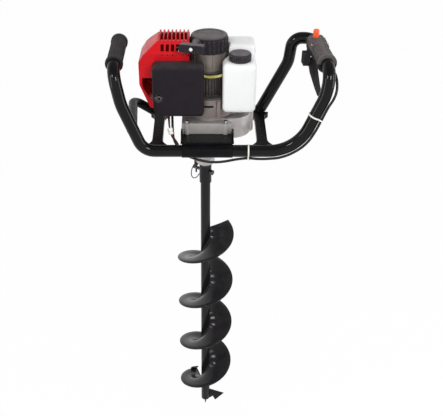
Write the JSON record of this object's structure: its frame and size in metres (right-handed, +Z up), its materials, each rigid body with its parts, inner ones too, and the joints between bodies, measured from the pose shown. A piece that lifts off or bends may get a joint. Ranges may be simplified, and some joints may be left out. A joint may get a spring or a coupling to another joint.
{
  "type": "earth auger",
  "caption": "Petrol earth auger with a spiral bit, gear case, recoil-start engine, fuel tank and a bent-tube handle frame with a throttle grip and trigger.",
  "frame": {"origin": "tip of the bit on its spin axis", "axes": "+Z up along the spin axis, +X towards the fuel tank, -Y towards the viewer of the picture"},
  "size_m": [0.511, 0.261, 1.172],
  "materials": {
    "black_frame": "gloss",
    "bit_paint": "satin",
    "pin_steel": "satin",
    "shaft_steel": "satin",
    "bright_steel": "satin",
    "lining": "matte",
    "case_aluminium": "matte",
    "engine_aluminium": "satin",
    "crankcase_grey": "satin",
    "cover_red": "gloss",
    "guard_charcoal": "satin",
    "muffler_steel": "satin",
    "black_plastic": "matte",
    "throttle_plastic": "matte",
    "button_orange": "gloss",
    "white_plastic": "matte",
    "tank_plastic": "satin",
    "grip_rubber": "matte",
    "cord_rubber": "satin",
    "wire_sleeve": "satin",
    "hose_plastic": "satin",
    "rope_white": "matte",
    "filter_foam": "matte",
    "plug_ceramic": "gloss"
  },
  "bodies": {
    "frame": {"left_handlebar": "black_frame", "right_handlebar": "black_frame", "rear_bar": "black_frame", "cross_members": "black_frame", "left_brace": "black_frame", "mount_tray": "black_frame", "case_bolts": "bright_steel", "grip_fasteners": "bright_steel", "bearings": "bright_steel", "gear_case_upper": "case_aluminium", "gear_case_lower": "case_aluminium", "fan_housing": "engine_aluminium", "starter_body": "engine_aluminium", "cylinder_block": "engine_aluminium", "carburettor": "engine_aluminium", "crankcase": "crankcase_grey", "cylinder_cover": "cover_red", "muffler_guard": "guard_charcoal", "muffler": "muffler_steel", "starter_cap": "black_plastic", "tank_bracket": "black_plastic", "air_filter_base": "black_plastic", "air_filter_cover": "black_plastic", "ignition_coil": "black_plastic", "throttle_grip_upper": "throttle_plastic", "throttle_grip_lower": "throttle_plastic", "cable_ties": "white_plastic", "fuel_tank": "tank_plastic", "left_grip": "grip_rubber", "output_seal": "grip_rubber", "throttle_cable": "cord_rubber", "ignition_lead": "cord_rubber", "stop_wires": "wire_sleeve", "fuel_hose": "hose_plastic", "air_filter_element": "filter_foam", "spark_plug": "plug_ceramic"},
    "auger": {"auger_tube": "bit_paint", "auger_flight": "bit_paint", "pilot_tip": "bit_paint", "coupling_pin": "pin_steel", "lynch_pin": "pin_steel", "output_shaft": "shaft_steel", "output_gear": "shaft_steel"},
    "ring": {"lynch_ring": "pin_steel"},
    "counter": {"countershaft": "shaft_steel", "countershaft_gear": "shaft_steel"},
    "input": {"input_pinion": "shaft_steel", "clutch_drum": "shaft_steel"},
    "crank": {"crankshaft": "shaft_steel", "flywheel": "engine_aluminium", "clutch_shoes": "lining"},
    "piston": {"piston": "engine_aluminium"},
    "rod": {"connecting_rod": "shaft_steel"},
    "pulley": {"starter_pulley": "white_plastic"},
    "handle": {"starter_handle": "black_plastic", "starter_rope": "rope_white"},
    "trigger": {"throttle_trigger": "black_plastic"},
    "button": {"stop_button": "button_orange"},
    "choke": {"choke_lever": "black_plastic"},
    "cap": {"fuel_cap": "black_plastic"}
  },
  "joints": [
    {"name": "auger_spin", "type": "hinge", "parent": "frame", "child": "auger", "pos_m": [0, 0, 0.9], "axis": [0, 0, 1], "continuous": true},
    {"name": "counter_spin", "type": "hinge", "parent": "frame", "child": "counter", "pos_m": [0.058, 0, 0.96], "axis": [0, 0, 1], "continuous": true},
    {"name": "input_spin", "type": "hinge", "parent": "frame", "child": "input", "pos_m": [0.0085, 0, 0.98], "axis": [0, 0, 1], "continuous": true},
    {"name": "crank_spin", "type": "hinge", "parent": "frame", "child": "crank", "pos_m": [0.0085, 0, 1.06], "axis": [0, 0, 1], "continuous": true},
    {"name": "piston_slide", "type": "slide", "parent": "frame", "child": "piston", "axis": [1, 0, 0], "range_m": [0, 0.034]},
    {"name": "rod_swing", "type": "hinge", "parent": "piston", "child": "rod", "pos_m": [-0.0685, 0, 1.0645], "axis": [0, 0, 1], "range_deg": [-16.4, 16.4]},
    {"name": "starter_pull", "type": "slide", "parent": "frame", "child": "handle", "axis": [-0.269, -0.9631, 0], "range_m": [0, 0.7], "stiffness_N_per_m": 20, "springref_m": -0.4},
    {"name": "pulley_spin", "type": "hinge", "parent": "frame", "child": "pulley", "pos_m": [0.0085, 0, 1.159], "axis": [0, 0, 1], "range_deg": [0, 2120]},
    {"name": "trigger_pull", "type": "hinge", "parent": "frame", "child": "trigger", "pos_m": [0.25115, 0.02932, 1.09817], "axis": [-0.9951, -0.0984, 0], "range_deg": [0, 30], "stiffness_Nm_per_rad": 0.5, "springref_deg": -22.92},
    {"name": "button_press", "type": "slide", "parent": "frame", "child": "button", "axis": [-0.0086, 0.0867, -0.9962], "range_m": [0, 0.004], "stiffness_N_per_m": 800, "springref_m": -0.001},
    {"name": "choke_swing", "type": "hinge", "parent": "frame", "child": "choke", "pos_m": [-0.0795, 0.084, 1.0705], "axis": [1, 0, 0], "range_deg": [0, 75]},
    {"name": "cap_lift", "type": "slide", "parent": "frame", "child": "cap", "axis": [0, 0, 1], "range_m": [0, 0.03]},
    {"name": "ring_swing", "type": "hinge", "parent": "auger", "child": "ring", "pos_m": [-0.0235, 0.0167, 0.835], "axis": [0.5792, 0.8152, 0], "range_deg": [0, 100]}
  ],
  "couplings": [
    {"joint": "counter_spin", "follows": "auger_spin", "ratio": -4.8},
    {"joint": "input_spin", "follows": "auger_spin", "ratio": 26.88},
    {"joint": "pulley_spin", "follows": "starter_pull", "rad_per_m": 52.63}
  ]
}
